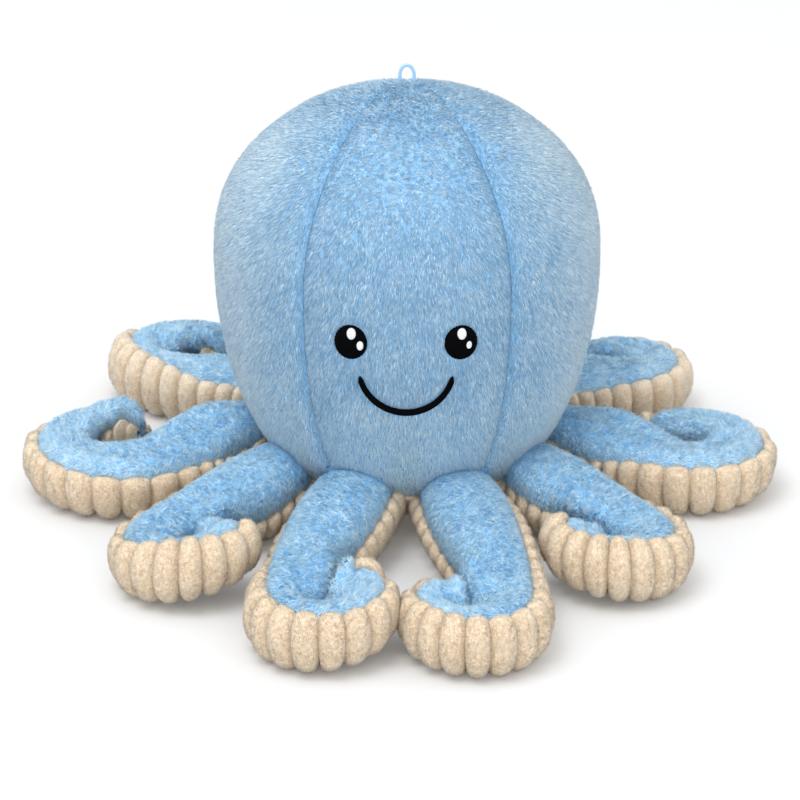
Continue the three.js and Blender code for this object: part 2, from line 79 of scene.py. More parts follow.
# Arms, as the frame has them
ARM_ROOT_RADIUS = 50.0
ROOT_TUCK = 8.0
ROOT_WIDTH = 37.5
ARM_WIDTH = 41.0
ARM_HEIGHT = 36.0
ROOT_SWELL = 35.0
CURL_WIDTH = 26.5
CURL_HEIGHT = 29.0
TIP_WIDTH = 22.5
TIP_HEIGHT = 24.0
TIP_ROUND = 13.0
ARM_REACH = 100.0
CURL_ENTRY = 26.0
CURL_RADIUS = 20.0
SQUARENESS = 2.2
SETTLE = 0.5
RIB_PITCH = 11.3
RIB_RISE = 1.8
UNDERSIDE_ARC = 190.0  # degrees of the section that the ribbed panel covers
TIP_ARC = 250.0  # at the tip's end
TIP_LEAD = 3.0  # before the tip starts to round off
CAPPED_ARC = 352.0  # at the end of a tip with a ribbed cap
CAP_LEAD = 2.0
CAP_LENGTH = 6.0
CAPPED_ARMS = ("front_left",)
SCALLOP = 15.0  # degrees that the panels' edge swings out at each rib
LINE_STEPS = 400

# name: root, aim, reach share, sweep, curl, start share, end share, rolls, tip lift share
ARMS = {
    "front_left": (-22.5, 5, 1.08, 2, 265, 0.89, 0.94, (-8, 5, 58, 51, 4), 0.36),
    "front_right": (22.5, -8.5, 1.12, -3, -253, 0.81, 1.11, (2, 22, 51, 67, 7), 0.1),
    "side_front_right": (67.5, -37, 0.78, 15, -246, 0.92, 1.01, (5, 5, 42, 82, 55), 0.36),
    "side_back_right": (112.5, -47, 0.66, -11, 290, 1.31, 0.98, (15, 0, 35, 25, 30), 0.22),
    "back_right": (157.5, -52, 0.84, 4, 248, 0.9, 0.92, (25, 20, 37, 35, 10), 0.2),
    "back_left": (-157.5, 54, 0.98, -18, -248, 1.14, 0.94, (25, 28, 72, 18, 10), 0.25),
    "side_back_left": (-112.5, 37, 0.59, 30, -277, 1.68, 0.98, (18, 0, 18, 35, -22), 0.24),
    "side_front_left": (-67.5, 34, 0.84, -12, 231, 0.92, 1.06, (5, 20, 30, 82, 37), 0.46),
}

# Face
EYE_ANGLES = {"left": -16.5, "right": 15.6}
EYE_HEIGHT = 100.9
EYE_WIDTH = 15.0
EYE_TALL = 15.0
HIGHLIGHT_WIDTH = 4.0
HIGHLIGHT_TALL = 5.0
HIGHLIGHT_RISE = 4.9
HIGHLIGHT_SHIFTS = {"left": 1.2, "right": -0.5}
SPARK_WIDTH = 3.0
SPARK_TALL = 4.2
SPARK_SHIFTS = {"left": 4.9, "right": 2.6}
SMILE_RADIUS = 21.3
SMILE_SPREAD = 76.0
SMILE_DROP = 31.2
SMILE_SHIFT = -0.5
SMILE_WIDTH = 2.2

# Plush
HEAD_INSET = 2.3  # of the head's cloth, which leaves room for its pile
TOP_INSET = 2.0  # of the arms' cloth along the middle of the top panel
TOP_EDGE_DIP = 0.6  # more, toward its edges
EDGE_DIP_WIDTH = 8.0
INNER_BULGE = 6.3  # of the top panel on the inner side of the curl
RIB_SINK = 2.2  # of the grooves
RIB_PUFF = 2.7  # of the ribs
RIB_END = 5.5  # length of a rib's rounded end
RIB_LIFT = 0.05  # of the ribs over the floor
HEAD_TUCK = 2.0  # of the arms' cloth into the head's
LINING_TUCK = 2.8
PILE_TUCK = 2.5  # of the arms' pile into the head's
NAP_GAP = 0.5  # between the nap and the head
FACE_GAP = 0.1  # between the pile's roots and the stitches
HEAD_DENSITY = 3.1  # fibres to the square millimetre
TOP_DENSITY = 4.2
NAP_DENSITY = 4.6
HEAD_LENGTHS = (2.7, 3.7)
TOP_LENGTHS = (2.3, 3.4)
NAP_LENGTHS = (0.9, 1.5)
PILE_WIDTHS = (0.4, 0.56)
NAP_WIDTHS = (0.3, 0.42)
FIBRE_SINK = 0.3  # of the fibres' roots into the cloth
FIBRE_ROUNDNESS = 0.7  # weight of a fibre's own shape in its shading
TIP_ROUNDNESS = 0.3
PILE_SOFTNESS = 0.3  # weight of the cloth's shape
NAP_SOFTNESS = 0.6
FLOOR_GAP = 0.1  # between fibres' tips and the floor
CLUMP = 1.5  # size of the clumps in which fibres rise together
LOCK = 7.0  # size of the locks that lean together
HEAD_RISE = 33.0  # degrees that fibres stand up from the cloth
TOP_RISES = (28.0, 32.0)  # at a top panel's edges and along its middle
NAP_RISE = 52.0
RISE_SPREAD = 8.0  # from clump to clump
TONES = 6  # shades of the fibres of one pile, from dark to light
HEAD_TONE = 2.0
TOP_TONE = 2.7
NAP_TONE = 2.6  # at the front, where more light falls; toward the back the nap is painted lighter, as painted light that makes up for the shade there
NAP_BACK_PAINTED_TONE = 4.5
TONE_SPREAD = 0.8  # from fibre to fibre
KNIT_COLUMNS = 40  # of flecks across an underside
KNIT_ROWS = 7  # of flecks to a rib
DENSITY = 1.0


def unit(vectors):
    return vectors / np.maximum(np.linalg.norm(vectors, axis=-1, keepdims=True), 1e-9)


def smooth(share):
    share = np.clip(share, 0, 1)
    return share * share * (3 - 2 * share)


def lerp(a, b, share):
    return a + (b - a) * share


def bearing(angle):
    angle = np.radians(angle)
    return np.stack([np.sin(angle), -np.cos(angle), np.zeros_like(angle)], -1)


def signed_power(value, exponent):
    return np.sign(value) * np.abs(value) ** exponent


def hashed(cell, seed):
    """A random value from -1 to 1 for each cell of whole numbers."""
    h = cell[..., 0] * 73856093 ^ cell[..., 1] * 19349663 ^ cell[..., 2] * 83492791 ^ seed * 39916801
    h = ((h ^ (h >> 13)) * 1274126177) & 0xFFFFFFFF
    h = h ^ (h >> 16)
    return (h & 0xFFFF) / 32767.5 - 1


def noise(points, size, seed):
    """Smooth random values from -1 to 1 that vary over a length of size."""
    scaled = points / size
    cell = np.floor(scaled).astype(np.int64)
    part = smooth(scaled - cell)
    total = 0
    for dx in (0, 1):
        for dy in (0, 1):
            for dz in (0, 1):
                corner = np.array([dx, dy, dz])
                weight = np.prod(np.where(corner, part, 1 - part), -1)
                total = total + weight * hashed(cell + corner, seed)
    return total


def noise_vector(points, size, seed):
    return np.stack([noise(points, size, seed + k) for k in range(3)], -1)


# Head shape

def lean_of(height):
    """How far back the head's axis lies at a height."""
    return np.maximum(0, height - LEAN_START) * math.tan(math.radians(LEAN_ANGLE))


def head_outline(level, depth):
    """The head's radius and height at a level, in degrees from its widest, at a depth inside it."""
    upper = level > 0
    span = np.where(upper, DOME_RISE, BOWL_DROP)
    fullness = np.where(upper, DOME_FULLNESS, BOWL_FULLNESS)
    level = np.radians(level)
    out = np.maximum(np.cos(level), 1e-6) ** (2 / fullness)
    up = signed_power(np.sin(level), 2 / fullness)
    slope_out = out ** (fullness - 1) / HEAD_RADIUS
    slope_up = signed_power(up, fullness - 1) / span
    size = np.hypot(slope_out, slope_up)
    radius = HEAD_RADIUS * out - depth * slope_out / size
    return radius, WIDEST_HEIGHT + span * up - depth * slope_up / size


def level_at(height):
    rise = height - WIDEST_HEIGHT
    span = np.where(rise > 0, DOME_RISE, BOWL_DROP)
    fullness = np.where(rise > 0, DOME_FULLNESS, BOWL_FULLNESS)
    return np.degrees(np.arcsin(np.clip(signed_power(rise / span, fullness / 2), -1, 1)))


def head_point(angle, level, depth):
    """A point of the head, whose gore lines shift back toward where they meet on the crown."""
    widest = head_outline(level, 0.0)[0]
    plan = bearing(angle) * widest[..., None]
    plan[..., 1] += np.where(level > 0, CROWN_BACK * (1 - (widest / HEAD_RADIUS) ** 2) ** 2, 0)
    moved = np.linalg.norm(plan, axis=-1)
    share = np.clip(moved / HEAD_RADIUS, 0, 1) ** (DOME_FULLNESS / 2)
    level = np.where(level > 0, np.degrees(np.arccos(share)), level)
    radius, height = head_outline(level, depth)
    point = plan * (radius / np.maximum(moved, 1e-6))[..., None]
    point[..., 1] += lean_of(height)
    point[..., 2] = height
    return point


def from_axis(points):
    """Points in plan from the head's axis, the axis there, and the head's radius at their height."""
    height = np.clip(points[..., 2], HEAD_FOOT, HEAD_TOP)
    lean = lean_of(height)
    axis = np.stack([np.zeros_like(lean), lean], -1)
    return points[..., :2] - axis, axis, head_outline(level_at(height), 0.0)[0]


def head_gap(points):
    """How far outside the head's surface points lie, level by level."""
    flat, _, head_radius = from_axis(points)
    return np.linalg.norm(flat, axis=-1) - head_radius


def outside_head(points, gap):
    """Moves points that lie inside the head out to its surface, level by level."""
    flat, axis, head_radius = from_axis(points)
    radius = np.linalg.norm(flat, axis=-1)
    least = head_radius - gap
    share = np.where(radius < least, least / np.maximum(radius, 1e-6), 1)
    moved = points.copy()
    moved[..., :2] = flat * share[..., None] + axis
    return moved


def head_place(points):
    """The bearing, level and head radius of points, and their distance from the head's axis."""
    back = points[:, 1] - lean_of(points[:, 2])
    level = level_at(points[:, 2])
    bearings = np.degrees(np.arctan2(points[:, 0], -back))
    return bearings, level, head_outline(level, 0.0)[0], np.hypot(points[:, 0], back)


def gore_seams():
    """The bearings of each gore's two seams."""
    other = (360 - FACE_GORE_ANGLE) / 4
    seam = -FACE_GORE_ANGLE / 2
    found = {}
    for name in ("face", "right", "back_right", "back_left", "left"):
        size = FACE_GORE_ANGLE if name == "face" else other
        found[name] = (seam, seam + size)
        seam += size
    return found


def crown_calm(radius):
    """From 0 round the crown's knot to 1 where the creases have their full depth."""
    return smooth((radius - CROWN_KNOT) / CROWN_CALM)


def gore_drawn(share, level, seam_angle):
    """How far a gore is drawn in, across its width and in the crease along its seams."""
    radius = head_outline(level, 0.0)[0]
    calm = crown_calm(radius) * smooth((level - level_at(np.array(GORE_FOOT))) / FOOT_CALM)
    edge = np.minimum(share, 1 - share) * np.radians(seam_angle) * radius
    crease = CREASE_DEPTH * np.exp(-(edge / CREASE_WIDTH) ** 2)
    return calm * (SEAM_DEPTH * (2 * share - 1) ** 4 + crease)


# Arm shape

class Arm:
    """An arm's centre line, section and ribs."""

    def __init__(self, name):
        (self.root, aim, reach_share, sweep, curl, start_share, end_share,
         self.rolls, self.tip_lift) = ARMS[name]
        self.name = name
        start = CURL_RADIUS * start_share
        end = CURL_RADIUS * end_share
        self.reach = ARM_REACH * reach_share
        self.sense = math.copysign(1, curl)
        entry_turn = CURL_ENTRY / (2 * start)
        curl_turn = math.radians(abs(curl)) - entry_turn
        self.length = self.reach + CURL_ENTRY + curl_turn * (start + end) / 2
        sweep_bend = math.radians(sweep) / self.reach
        step = self.length / LINE_STEPS
        place = bearing(np.array(self.root)) * ARM_ROOT_RADIUS
        heading = self.root + aim
        turned = 0.0
        places, headings, bends = [], [], []
        for index in range(LINE_STEPS + 1):
            distance = index * step
            entry = float(smooth((distance - self.reach) / CURL_ENTRY))
            radius = lerp(start, end, min(1.0, turned / curl_turn))
            bend = lerp(sweep_bend, self.sense / radius, entry)
            places.append(place.copy())
            headings.append(heading)
            bends.append(bend)
            place += bearing(np.array(heading + math.degrees(bend * step / 2))) * step
            heading += math.degrees(bend * step)
            turned += abs(bend) * step if distance > self.reach + CURL_ENTRY else 0
        self.step = step
        self.places = np.array(places)
        self.headings = np.array(headings)
        self.bends = np.array(bends)
        self.tip_start = self.length - TIP_ROUND
        self.curl_start = self.reach + CURL_ENTRY
        self.grooves = self.find_grooves()

    def shaft_share(self, distance):
        return smooth((distance - ROOT_SWELL) / (self.curl_start - ROOT_SWELL))

    def curl_share(self, distance):
        return smooth((distance - self.curl_start) / (self.tip_start - self.curl_start))

    def width(self, distance):
        tucked = ROOT_WIDTH * (1 - ROOT_TUCK / ARM_ROOT_RADIUS)
        swollen = lerp(ROOT_WIDTH, ARM_WIDTH, smooth(distance / ROOT_SWELL))
        tapered = lerp(swollen, CURL_WIDTH, self.shaft_share(distance))
        full = lerp(tapered, TIP_WIDTH, self.curl_share(distance))
        return np.where(distance < 0, lerp(ROOT_WIDTH, tucked, -distance / ROOT_TUCK), full)

    def height(self, distance):
        tapered = lerp(ARM_HEIGHT, CURL_HEIGHT, self.shaft_share(distance))
        return lerp(tapered, TIP_HEIGHT, self.curl_share(distance))

    def rolled(self, distance):
        """Degrees that the section is rolled by, toward the outer side of the curl."""
        marks = np.array([0, self.reach - CURL_ENTRY, self.curl_start,
                          (self.curl_start + self.length) / 2, self.length])
        rolls = np.array(self.rolls, float)
        before = np.clip(np.searchsorted(marks, distance, side="right") - 1, 0, len(marks) - 2)
        share = smooth((distance - marks[before]) / (marks[before + 1] - marks[before]))
        return lerp(rolls[before], rolls[before + 1], share)

    def panel_arc(self, distance):
        """Degrees of the section that the ribbed panel covers, which closes round the tip's end."""
        past = distance - self.tip_start
        if self.name in CAPPED_ARMS:
            return lerp(UNDERSIDE_ARC, CAPPED_ARC, smooth((past + CAP_LEAD) / CAP_LENGTH))
        return lerp(UNDERSIDE_ARC, TIP_ARC, smooth((past + TIP_LEAD) / TIP_ROUND))

    def find_grooves(self):
        """Distances along the arm at which the ribs' grooves lie, evenly spaced on the panel."""
        distance = np.arange(LINE_STEPS + 1) * self.step
        offset = np.sin(np.radians(self.rolled(distance))) * self.width(distance) / 2
        travelled = np.concatenate([[0], np.cumsum(self.step * (1 + np.abs(self.bends) * offset))])
        end = travelled[round(self.tip_start / self.step)]
        count = round(end / RIB_PITCH)
        wanted = end * np.arange(count + 1) / count
        return np.minimum(np.interp(wanted, travelled[:-1], distance), self.tip_start)

    def point(self, distance, angle, depth, crest):
        """A point at an angle from straight down toward the outer side of the curl."""
        past = np.clip((distance - self.tip_start) / TIP_ROUND, 0, 1)
        along = np.minimum(distance, self.tip_start) + past * (TIP_ROUND - depth)
        full = np.sqrt(np.maximum(0, 1 - past ** 2))
        index = np.clip(along / self.step, 0, LINE_STEPS)
        low = np.floor(index).astype(int)
        high = np.minimum(low + 1, LINE_STEPS)
        part = index - low
        place = lerp(self.places[low], self.places[high], part[..., None])
        heading = lerp(self.headings[low], self.headings[high], part)
        settled = smooth(along / (ARM_ROOT_RADIUS + ROOT_SWELL))
        facing = lerp(self.root, heading, settled)
        outward = bearing(facing - 90 * self.sense)
        place = place + bearing(np.array(float(self.root))) * np.minimum(along, 0)[..., None]
        half_width = (self.width(along) / 2 - depth) * full
        half_height = (self.height(along) / 2 - depth) * full
        turn = np.radians(angle)
        out = signed_power(np.sin(turn), 2 / SQUARENESS)
        down = signed_power(np.cos(turn), 2 / SQUARENESS)
        raised = smooth((along - self.curl_start) / (self.length - self.curl_start))
        lift = self.tip_lift * TIP_HEIGHT * raised
        middle = self.height(along) / 2 + RIB_RISE - SETTLE + lift
        point = place + outward * (out * (half_width + crest))[..., None]
        point[..., 2] = np.maximum(0, middle - down * (half_height + crest))
        return point


# Meshes

def add_mesh(name, corners, faces, materials):
    """An object from corners in millimetres and faces of one size, an array of corner numbers."""
    mesh = bpy.data.meshes.new(name)
    mesh.vertices.add(len(corners))
    mesh.vertices.foreach_set("co", (np.asarray(corners) * MM).astype(np.float32).ravel())
    size = faces.shape[1]
    mesh.loops.add(faces.size)
    mesh.loops.foreach_set("vertex_index", faces.astype(np.int32).ravel())
    mesh.polygons.add(len(faces))
    mesh.polygons.foreach_set("loop_start", np.arange(0, faces.size, size, dtype=np.int32))
    mesh.polygons.foreach_set("use_smooth", np.ones(len(faces), bool))
    mesh.update(calc_edges=True)
    mesh.validate()
    for material in materials:
        mesh.materials.append(material)
    piece = bpy.data.objects.new(name, mesh)
    bpy.context.scene.collection.objects.link(piece)
    return piece


def grid_quads(rows, columns, first=0, closed=False):
    """Quads of a grid of corners, closed across its columns if asked."""
    row = np.arange(rows - 1)[:, None]
    column = np.arange(columns if closed else columns - 1)[None, :]
    after = (column + 1) % columns
    a = first + row * columns + column
    b = first + row * columns + after
    return np.stack([a, b, b + columns, a + columns], -1).reshape(-1, 4)


def facing_out(corners, faces):
    """The faces, all turned over if the closed surface is inside out."""
    a, b, c, d = (corners[faces[:, k]] for k in range(4))
    volume = (a * np.cross(b, c)).sum() + (a * np.cross(c, d)).sum()
    return faces if volume > 0 else faces[:, ::-1]


def shell(name, outer, inner, materials):
    """A closed shell between two grids of corners of one size."""
    rows, columns = outer.shape[:2]
    corners = np.concatenate([outer.reshape(-1, 3), inner.reshape(-1, 3)])
    count = rows * columns
    number = np.arange(count).reshape(rows, columns)
    faces = [grid_quads(rows, columns), grid_quads(rows, columns, count)[:, ::-1]]
    for border in (number[0][::-1], number[-1], number[:, 0], number[:, -1][::-1]):
        here, after = border[:-1], border[1:]
        faces.append(np.stack([here, after, after + count, here + count], -1)[:, ::-1])
    return add_mesh(name, corners, facing_out(corners, np.concatenate(faces)), materials)


def tube(name, rings, materials):
    """A closed tube through rings of corners, whose ends close on their middles."""
    rows, columns = rings.shape[:2]
    ends = [np.repeat(rings[k].mean(0)[None], columns, 0) for k in (0, -1)]
    rings = np.concatenate([ends[0][None], rings, ends[1][None]])
    corners = rings.reshape(-1, 3)
    faces = facing_out(corners, grid_quads(rows + 2, columns, closed=True))
    piece = add_mesh(name, corners, faces, materials)
    weld(piece)
    return piece


def put_in_place(piece, body, node_name):
    """The piece rides on a body and stands for a node, whose part is hidden."""
    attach(piece, body)
    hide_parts(node_name)


def weld(piece):
    """Joins corners that lie in one place."""
    work = bmesh.new()
    work.from_mesh(piece.data)
    bmesh.ops.remove_doubles(work, verts=work.verts, dist=1e-7)
    bmesh.ops.dissolve_degenerate(work, edges=work.edges, dist=1e-8)
    work.to_mesh(piece.data)
    work.free()


class Scatter:
    """Random places on a grid of corners, by area: points, normals, row and column directions."""

    def __init__(self, grid, density, outward):
        a, b, c, d = grid[:-1, :-1], grid[:-1, 1:], grid[1:, 1:], grid[1:, :-1]
        area = np.linalg.norm(np.cross(c - a, d - b), axis=-1) / 2
        count = int(area.sum() * density)
        chosen = rng.choice(area.size, count, p=area.ravel() / area.sum())
        row, column = np.divmod(chosen, area.shape[1])
        s = rng.random(count)[:, None]
        t = rng.random(count)[:, None]
        a, b, c, d = (corner[row, column] for corner in (a, b, c, d))
        self.points = a * (1 - s) * (1 - t) + b * (1 - s) * t + c * s * t + d * s * (1 - t)
        self.along = unit((d - a) * (1 - t) + (c - b) * t)
        self.across = unit((b - a) * (1 - s) + (c - d) * s)
        normal = unit(np.cross(self.across, self.along))
        self.normals = normal * outward(self.points, normal)[:, None]
        self.row = (row + s[:, 0]) / area.shape[0]
        self.column = (column + t[:, 0]) / area.shape[1]
        self.count = count

    def keep(self, mask):
        for field in ("points", "along", "across", "normals", "row", "column"):
            setattr(self, field, getattr(self, field)[mask])
        self.count = len(self.points)


def along_surface(directions, normals):
    """Directions laid down on the surface that has the normals."""
    return unit(directions - normals * (directions * normals).sum(-1, keepdims=True))


def risen(tangent, normals, rise):
    """Tangents turned up from their surface by an angle."""
    rise = np.radians(rise)[:, None]
    return tangent * np.cos(rise) + normals * np.sin(rise)


def locks(points, size, lean, lock_lean, seed):
    """Directions in which clumps of fibres lean together, and the locks of such clumps."""
    return noise_vector(points, size, seed) * lean + noise_vector(points, LOCK, seed + 20) * lock_lean


def whole_tones(tone):
    return np.clip(np.round(tone), 0, TONES - 1)


def fibre_widths(count, widths):
    return rng.uniform(*widths, count) / math.sqrt(DENSITY)


def fur(name, roots, normals, directions, lengths, widths, tones, materials, softness):
    """A pile of tapered three-sided fibres, each with one of the materials."""
    count = len(roots)
    axis = unit(directions)
    side = unit(np.cross(axis, normals + 1e-3))
    up = np.cross(side, axis)
    turn = rng.random(count)
    base = roots - normals * FIBRE_SINK
    corners, shading = [], []
    for corner in range(3):
        angle = 2 * np.pi * (turn + corner / 3)[:, None]
        radial = np.cos(angle) * side + np.sin(angle) * up
        corners.append(base + radial * widths[:, None] / 2)
        shading.append(unit(normals * softness + radial * FIBRE_ROUNDNESS))
    tips = base + axis * lengths[:, None]
    tips[:, 2] = np.maximum(tips[:, 2], FLOOR_GAP)
    corners.append(tips)
    shading.append(unit(normals * softness + axis * TIP_ROUNDNESS))
    corners = np.stack(corners, 1).reshape(-1, 3)
    shading = np.stack(shading, 1).reshape(-1, 3).astype(np.float32)
    first = np.arange(count)[:, None] * 4
    faces = np.stack([first + np.array([k]) for k in (1, 0, 3, 2, 1, 3, 0, 2, 3)], 1).reshape(-1, 3)
    piece = add_mesh(name, corners, faces, materials)
    piece.data.polygons.foreach_set("material_index", np.repeat(tones, 3).astype(np.int32))
    piece.data.normals_split_custom_set_from_vertices(shading)
    return piece


# Materials

def linear(red, green, blue):
    """A colour as it shows on screen, from 0 to 255, in the renderer's values."""
    values = []
    for value in (red, green, blue):
        share = value / 255
        values.append(share / 12.92 if share <= 0.04045 else ((share + 0.055) / 1.055) ** 2.4)
    return (*values, 1)


def new_material(name, colour, roughness=0.9, sheen=0.0, sheen_roughness=0.5, specular=0.2):
    material = bpy.data.materials.new(name)
    material.use_nodes = True
    shader = material.node_tree.nodes["Principled BSDF"]
    shader.inputs["Base Color"].default_value = colour
    shader.inputs["Roughness"].default_value = roughness
    shader.inputs["Specular IOR Level"].default_value = specular
    shader.inputs["Sheen Weight"].default_value = sheen
    shader.inputs["Sheen Roughness"].default_value = sheen_roughness
    material.diffuse_color = colour
    return material


def node(owner, kind, **settings):
    """A shader node of a material or world, whose inputs or properties are set by name."""
    made = owner.node_tree.nodes.new(kind)
    for key, value in settings.items():
        if key in made.inputs:
            made.inputs[key].default_value = value
        else:
            setattr(made, key, value)
    return made


def link(owner, source, target):
    owner.node_tree.links.new(source, target)


def mottled(name, dark, light, size, bump, roughness=0.9, sheen=0.0, fine=0.3, specular=0.2):
    """Cloth or thread whose colour and height vary with a coarse noise and a fine one."""
    dark, light = linear(*dark), linear(*light)
    material = new_material(name, light, roughness, sheen, specular=specular)
    place = node(material, "ShaderNodeTexCoord")
    coarse = node(material, "ShaderNodeTexNoise", Scale=1 / (size * MM), Detail=4.0, Roughness=0.6)
    small = node(material, "ShaderNodeTexNoise", Scale=1 / (fine * MM), Detail=2.0, Roughness=0.5)
    link(material, place.outputs["Object"], coarse.inputs["Vector"])
    link(material, place.outputs["Object"], small.inputs["Vector"])
    both = node(material, "ShaderNodeMix", data_type="FLOAT", Factor=0.5)
    link(material, coarse.outputs["Fac"], both.inputs["A"])
    link(material, small.outputs["Fac"], both.inputs["B"])
    ramp = node(material, "ShaderNodeValToRGB")
    ramp.color_ramp.elements[0].position = 0.35
    ramp.color_ramp.elements[0].color = dark
    ramp.color_ramp.elements[1].position = 0.65
    ramp.color_ramp.elements[1].color = light
    link(material, both.outputs["Result"], ramp.inputs["Fac"])
    shader = material.node_tree.nodes["Principled BSDF"]
    link(material, ramp.outputs["Color"], shader.inputs["Base Color"])
    raised = node(material, "ShaderNodeBump", Strength=0.6, Distance=bump * MM)
    link(material, both.outputs["Result"], raised.inputs["Height"])
    link(material, raised.outputs["Normal"], shader.inputs["Normal"])
    return material


def pile_tones(name, dark, light, sheen):
    """The materials of a pile's fibres, from its darkest shade to its lightest."""
    shares = [k / (TONES - 1) for k in range(TONES)]
    colours = [linear(*(lerp(a, b, share) for a, b in zip(dark, light))) for share in shares]
    return [new_material(f"{name}_{k}", colour, 0.95, sheen, 0.45, 0.1)
            for k, colour in enumerate(colours)]


head_skin = mottled("head_backing", (118, 168, 208), (140, 188, 224), 6, 0.4)
arm_skin = mottled("arm_backing", (110, 168, 214), (134, 188, 228), 6, 0.4)
head_pile = pile_tones("head_pile", (114, 162, 201), (220, 238, 247), 0.2)
arm_pile = pile_tones("arm_pile", (114, 173, 219), (204, 232, 247), 0.15)
rib_skin = mottled("rib_cloth", (196, 168, 132), (236, 222, 202), 1.4, 0.35, fine=0.5, sheen=0.2)
rib_pile = pile_tones("rib_pile", (172, 152, 124), (248, 240, 226), 0.2)
base_skin = mottled("base_cloth", (206, 184, 152), (232, 214, 188), 2.5, 0.3, fine=0.6, sheen=0.2)
thread_black = mottled("black_thread", (2, 2, 3), (9, 9, 11), 0.6, 0.1,
                       roughness=0.7, fine=0.2, specular=0.02)
thread_white = mottled("white_thread", (186, 188, 196), (240, 240, 243), 0.6, 0.1,
                       roughness=0.6, fine=0.2)
cord_cloth = mottled("cord_thread", (134, 178, 216), (170, 206, 236), 0.8, 0.15,
                     roughness=0.8, fine=0.25, sheen=0.2)


# Head

HEAD_MIDDLE = 95.0  # height of a point well inside the head
ROW_SPREAD = 0.93  # below 1 the gores' rows crowd toward the crown
SEAM_GAP = 0.15  # from a gore's edge to the seam's middle
SWEEP = 0.55  # how far the pile is brushed away from the face
TUFT_HEIGHT = 168.0  # middle of the brushed up pile at the front of the crown
TUFT_TALL = 16.0
TUFT_WIDE = 36.0
TUFT_BACK = 60.0
PAINTED_LIFT_LEVEL = -8.0  # below this level the pile is painted lighter and bluer, painted light that makes up for the shade under the head
PAINTED_LIFT_SPREAD = 32.0
PAINTED_LIFT_ARM_SHARE = 0.85  # share of its fibres there that have the arms' shades, which paint it bluer


def face_distance(points):
    """How far points lie outside the edges of the eyes and of the smile, roughly."""
    bearings, _, radius, _ = head_place(points)
    nearest = np.full(len(points), np.inf)
    for angle in EYE_ANGLES.values():
        across = np.radians(bearings - angle) * radius
        above = points[:, 2] - EYE_HEIGHT
        share = np.hypot(across / (EYE_WIDTH / 2), above / (EYE_TALL / 2))
        nearest = np.minimum(nearest, (share - 1) * EYE_WIDTH / 2)
    right = np.radians(bearings) * radius - SMILE_SHIFT
    up = points[:, 2] - (EYE_HEIGHT - SMILE_DROP) - SMILE_RADIUS
    aside = np.abs(np.hypot(right, up) - SMILE_RADIUS) - SMILE_WIDTH / 2
    turn = np.degrees(np.arctan2(right, -up))
    past = np.radians(np.maximum(0, np.abs(turn) - SMILE_SPREAD)) * SMILE_RADIUS
    aside = np.hypot(np.maximum(aside, 0), past) + np.minimum(aside, 0)
    return np.where(points[:, 1] < 0, np.minimum(nearest, aside), np.inf)


def away_from_head(points, normals):
    """Which way normals have to be turned to leave the head: 1 or -1."""
    middle = np.array([0, float(lean_of(HEAD_MIDDLE)), HEAD_MIDDLE])
    return np.where(((points - middle) * normals).sum(-1) > 0, 1.0, -1.0)


def across_gore(even):
    """Shares of a gore's width, closer together toward its seams."""
    return (1 - np.cos(even * math.pi)) / 2


def gore_grid(seams, depth, rows=90, columns=49):
    foot = level_at(np.array(GORE_FOOT))
    levels = lerp(foot, CROWN_LEVEL, np.linspace(0, 1, rows) ** ROW_SPREAD)
    share, levels = np.meshgrid(across_gore(np.linspace(0, 1, columns)), levels)
    margin = np.degrees(SEAM_GAP / np.maximum(head_outline(levels, PLUSH)[0], 1))
    angle = lerp(seams[0] + margin, seams[1] - margin, share)
    drawn = gore_drawn(share, levels, seams[1] - seams[0])
    return head_point(angle, levels, depth + drawn)


def add_gore(name, seams):
    outer = gore_grid(seams, HEAD_INSET)
    inner = gore_grid(seams, HEAD_INSET + PLUSH)
    piece = shell(f"head_{name}_cloth", outer, inner, [head_skin])
    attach(piece, "head")
    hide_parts(f"gore_{name}", *(["head_stuffing"] if name == "face" else []))
    add_head_pile(name, seams, outer)


